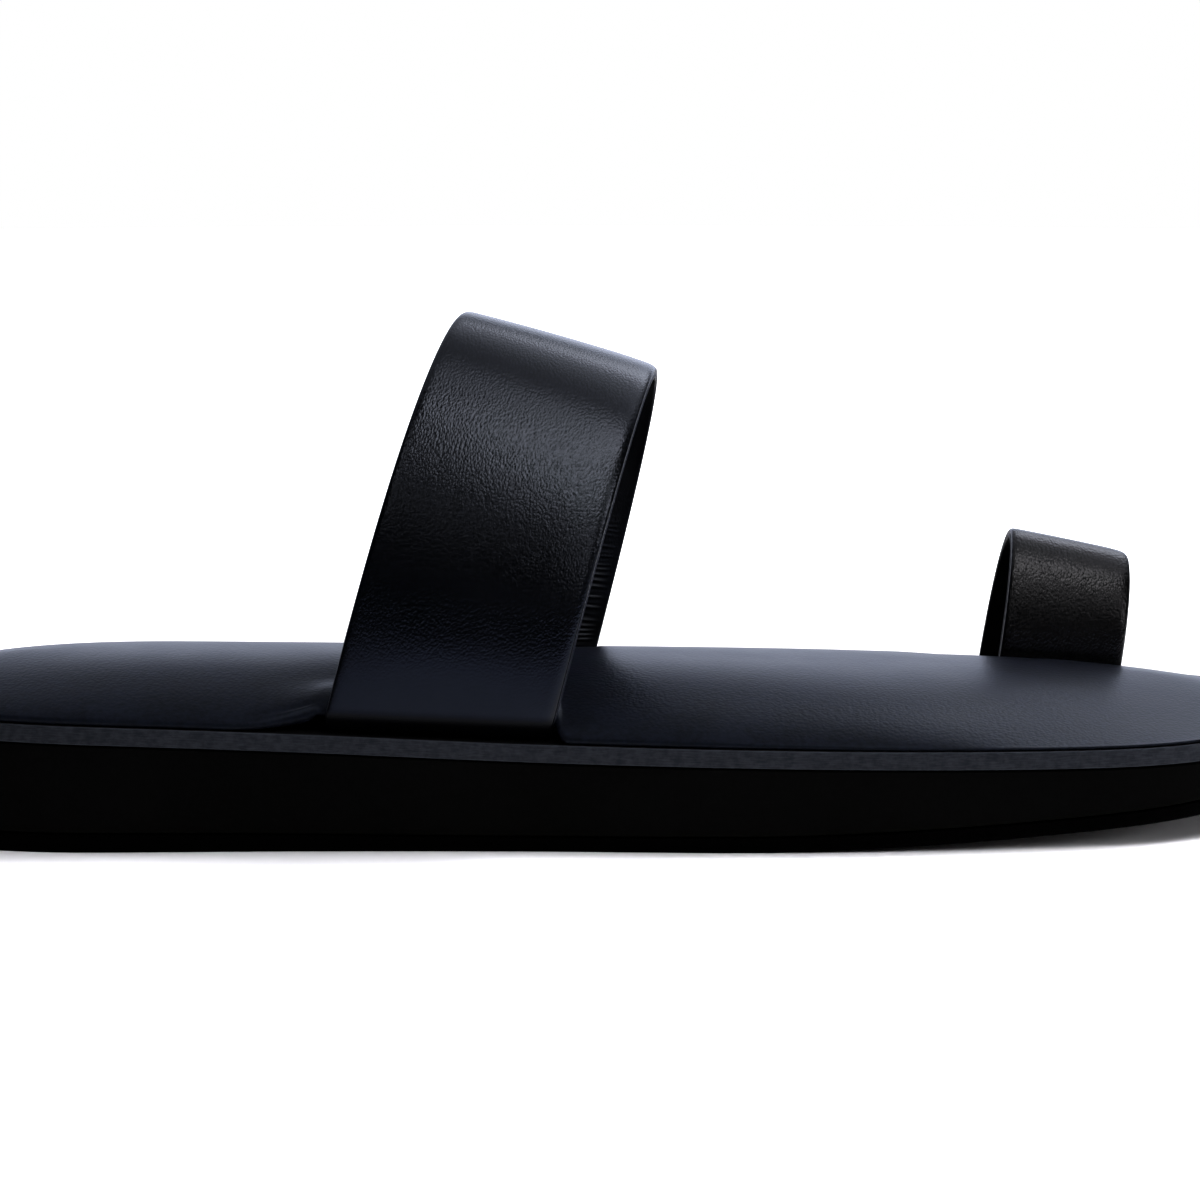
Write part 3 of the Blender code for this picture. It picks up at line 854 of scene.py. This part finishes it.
def slot_cutter():
    """The loop's inner leg with a gap all round, which cuts the slot and is then taken away."""
    reach = LEG_STEPS + LOOP_STEPS[0]
    back, front = loop_edge("back")[:reach], loop_edge("front")[:reach]
    over = (front - back) / np.linalg.norm(front - back, axis=1, keepdims=True)
    side = np.array((0.0, LOOP_THICK / 2 + GAP, 0.0))
    low, high = back - over * GAP, front + over * GAP
    rows = np.stack([low - side, high - side, high + side, low + side], axis=1)
    rows[0, :, 2] -= CUTTER_DROP
    cutter = bpy.data.objects.new("slot_cutter", skin("slot_cutter", rows, closed_ends=True))
    bpy.context.scene.collection.objects.link(cutter)
    return cutter


cutter = slot_cutter()
cut_slot = pad.modifiers.new("slot", "BOOLEAN")
cut_slot.operation = "DIFFERENCE"
cut_slot.solver = "EXACT"
cut_slot.object = cutter
whole = pad.data
pad.data = bpy.data.meshes.new_from_object(pad.evaluated_get(bpy.context.evaluated_depsgraph_get()))
pad.modifiers.clear()
bpy.data.objects.remove(cutter)
bpy.data.meshes.remove(whole)
print("the pad with its slot has", len(pad.data.polygons), "faces")

# %% [markdown]
# ## Studio
# The slide stands on a white table. The wall behind it is lit and a broad lamp hangs over it, which puts the
# pale rims on strap and pad. Lamps at both sides and over the toe fill in, and the table towards the camera
# gets a cold lamp of its own, because the strap's lowest band mirrors it.
# Glossy leather shows what it mirrors, so the strap's bright patch is made by a fan of softboxes in front of
# it. Most have a grid, a honeycomb that narrows the beam, so that they hardly touch the rest of the slide.
# One big lamp would light the strap too, but without the fall-off from the patch to the dark band below it.

# %% Table and room
WHITE = (1.0, 1.0, 1.0, 1.0)
BLACK = (0.0, 0.0, 0.0, 1.0)
TABLE_TONES = ((0.84, 0.81, 0.77, 1.0), (0.86, 0.83, 0.79, 1.0))
TABLE_COLD = (0.68, 0.74, 0.90, 1.0)
COLD_REACH = (0.09, 0.17)
FADE_REACH = (0.16, 0.32)
FRONT_FADE_REACH = (0.08, 0.14)
TABLE_RADIUS = 1.7


def table_white(start):
    """A white table top with a very faint unevenness, colder in front, which fades into the white room."""
    place = start.node("TexCoord", output="Object")
    clouds = start.node("TexNoise", {}, {"Vector": place, "Scale": 6.0})
    near = clouds.blend(*TABLE_TONES)
    away = start.node("VectorMath", {"operation": "LENGTH"}, {0: place}, output="Value")
    ahead = start.node("SeparateXYZ", {}, {"Vector": place}, output="Y") * -1.0
    colour = ahead.between(*COLD_REACH).blend(near, TABLE_COLD)
    white = start.math("MAXIMUM", away.between(*FADE_REACH), ahead.between(*FRONT_FADE_REACH))
    seen = start.node("LightPath", output="Is Camera Ray")
    fade = (white * seen).blend(BLACK, WHITE)
    sockets = {"Base Color": colour, "Roughness": 0.9, "Specular IOR Level": 0.0}
    sockets |= {"Emission Color": fade, "Emission Strength": 1.0}
    return start.node("BsdfPrincipled", {}, sockets)


data = bpy.data.meshes.new("table")
mesh = bmesh.new()
bmesh.ops.create_circle(mesh, cap_ends=True, segments=96, radius=TABLE_RADIUS)
mesh.to_mesh(data)
mesh.free()
data.materials.append(make_finish("table_white", table_white))
table = bpy.data.objects.new("table", data)
bpy.context.scene.collection.objects.link(table)
table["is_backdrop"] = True


WALL_COLOUR = (0.88, 0.94, 1.12, 1.0)
WALL_AROUND = 0.3
WALL_AROUND_REACH = (0.2, 0.7)
WALL_MIDDLE = 1.28
WALL_MIDDLE_REACH = (0.70, 0.97)


def room(start):
    """White to the camera. Its light comes from the wall behind, most of it from the wall's middle."""
    direction = start.node("TexCoord", output="Generated")
    y = start.node("SeparateXYZ", {}, {"Vector": direction}, output="Y")
    strength = WALL_AROUND * y.between(*WALL_AROUND_REACH) + WALL_MIDDLE * y.between(*WALL_MIDDLE_REACH)
    lit = start.node("Background", {}, {"Color": WALL_COLOUR, "Strength": strength})
    white = start.node("Background", {}, {"Color": WHITE, "Strength": 1.0})
    seen = start.node("LightPath", output="Is Camera Ray")
    return start.node("MixShader", {}, {0: seen, 1: lit, 2: white})


world = bpy.data.worlds.new("room")
world.use_nodes = True
tree = world.node_tree
tree.nodes.remove(tree.nodes["Background"])
tree.links.new(room(Wire(tree)).socket, tree.nodes["World Output"].inputs["Surface"])
bpy.context.scene.world = world

# %% Lamps
LAMP_WHITE = (0.95, 0.97, 1.05)
LAMP_COOL = (0.92, 0.96, 1.08)
LAMP_COLD = (0.78, 0.85, 1.15)


def soft_lamp(name, place, aim, size, power, mirrored=True, grid=None, colour=LAMP_WHITE):
    """A softbox at a place, turned to a point, with two sides in metres and its grid's beam in degrees."""
    data = bpy.data.lights.new(name, "AREA")
    data.shape = "RECTANGLE"
    data.size, data.size_y = size
    data.energy = power
    data.color = colour
    if grid:
        data.spread = radians(grid)
    lamp = bpy.data.objects.new(name, data)
    lamp.location = place
    lamp.rotation_mode = "QUATERNION"
    lamp.rotation_quaternion = (Vector(aim) - Vector(place)).to_track_quat("-Z", "Y")
    lamp.visible_camera = False
    lamp.visible_glossy = mirrored
    bpy.context.scene.collection.objects.link(lamp)


soft_lamp("lamp_over", (0.1, 0.45, 1.3), (0.1, 0.45, 0.0), (2.2, 2.0), 12.6, colour=LAMP_COOL)
soft_lamp("lamp_top", (0.75, 0.45, 1.0), (0.0, 0.0, 0.08), (1.2, 1.0), 3.2, colour=LAMP_COOL)
soft_lamp("lamp_behind", (0.54, 0.77, 0.8), (0.0, 0.0, 0.08), (0.5, 0.5), 1.5, colour=LAMP_COOL)
soft_lamp("lamp_left", (-1.1, 0.1, 0.5), (0.0, 0.0, 0.05), (0.6, 0.8), 6.0, mirrored=False)
soft_lamp("lamp_right", (1.1, -0.3, 0.2), (0.0, 0.0, 0.05), (0.5, 0.3), 6.2, mirrored=False)
soft_lamp("lamp_toe", (0.35, 0.1, 0.6), (0.09, -0.02, 0.03), (0.3, 0.3), 0.45, mirrored=False, grid=40)
soft_lamp("lamp_table", (-0.2, -1.15, 0.8), (-0.2, -1.15, 0.0), (1.6, 0.8), 10.0, mirrored=False, grid=90,
          colour=LAMP_COLD)

# %% Softboxes that the strap mirrors
STRAP_FACE = Vector((-0.012, -0.035, 0.064))
SOFTBOX_DISTANCE = 1.2
SOFTBOX_COLUMNS = ("name", "azimuth", "elevation", "width", "height", "power", "grid")
SOFTBOXES = (
    ("strip_high", 14, 53, 0.17, 0.21, 0.0088, 14),
    ("strip", 14, 44, 0.17, 0.17, 0.0084, 14),
    ("strip_low", 14, 36, 0.17, 0.17, 0.0032, 14),
    ("strip_inner", 7, 36, 0.13, 0.17, 0.0035, 14),
    ("strip_foot", 14, 20, 0.17, 0.17, 0.0041, 14),
    ("strip_heel", -13, 28, 0.13, 0.17, 0.0016, 14),
    ("strip_heel_high", -20, 42, 0.17, 0.25, 0.006, 14),
    ("front", 25, 53, 0.29, 0.21, 0.3, None),
    ("toe_side_high", 42, 64, 0.42, 0.25, 1.1, None),
    ("toe_side", 42, 53, 0.42, 0.21, 1.8, None),
    ("toe_side_low", 36, 33, 0.34, 0.40, 0.024, 20),
    ("rim", 52, 20, 0.42, 0.40, 0.06, 20),
)


def direction(turn, lift):
    """The direction that is turned from the front towards the toe, and lifted, by two angles in radians."""
    return Vector((sin(turn) * cos(lift), -cos(turn) * cos(lift), sin(lift)))


for row in SOFTBOXES:
    box = dict(zip(SOFTBOX_COLUMNS, row))
    place = STRAP_FACE + direction(radians(box["azimuth"]), radians(box["elevation"])) * SOFTBOX_DISTANCE
    size = box["width"], box["height"]
    soft_lamp("softbox_" + box["name"], place, STRAP_FACE, size, box["power"], grid=box["grid"])

# %% [markdown]
# ## Camera
# The picture is a long-lens side view from the outer side, turned a little towards the heel and raised a
# little, so that the insole's dome just shows over its edge. Heel and toe run out of the frame.

# %% Camera and colours
TURN = radians(-5.8)
LIFT = radians(8.0)
DISTANCE = 0.87
SENSOR = 36.0
LENS = 144.6
GAMMA = 0.75
TARGET = Vector((0.0, -0.00119, 0.03865))
data = bpy.data.cameras.new("side_view")
data.sensor_width = SENSOR
data.lens = LENS
camera = bpy.data.objects.new("side_view", data)
back = direction(TURN, LIFT)
camera.location = TARGET + back * DISTANCE
camera.rotation_mode = "QUATERNION"
camera.rotation_quaternion = (-back).to_track_quat("-Z", "Y")
bpy.context.scene.collection.objects.link(camera)
bpy.context.scene.camera = camera
bpy.context.scene.view_settings.view_transform = "Standard"
bpy.context.scene.view_settings.gamma = GAMMA

# %% Sizes, and the end
new_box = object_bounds()
for label, box in (("solids", cad_box), ("pieces", new_box)):
    print(label, [round((high - low) / MM, 1) for low, high in zip(*box)], "mm")
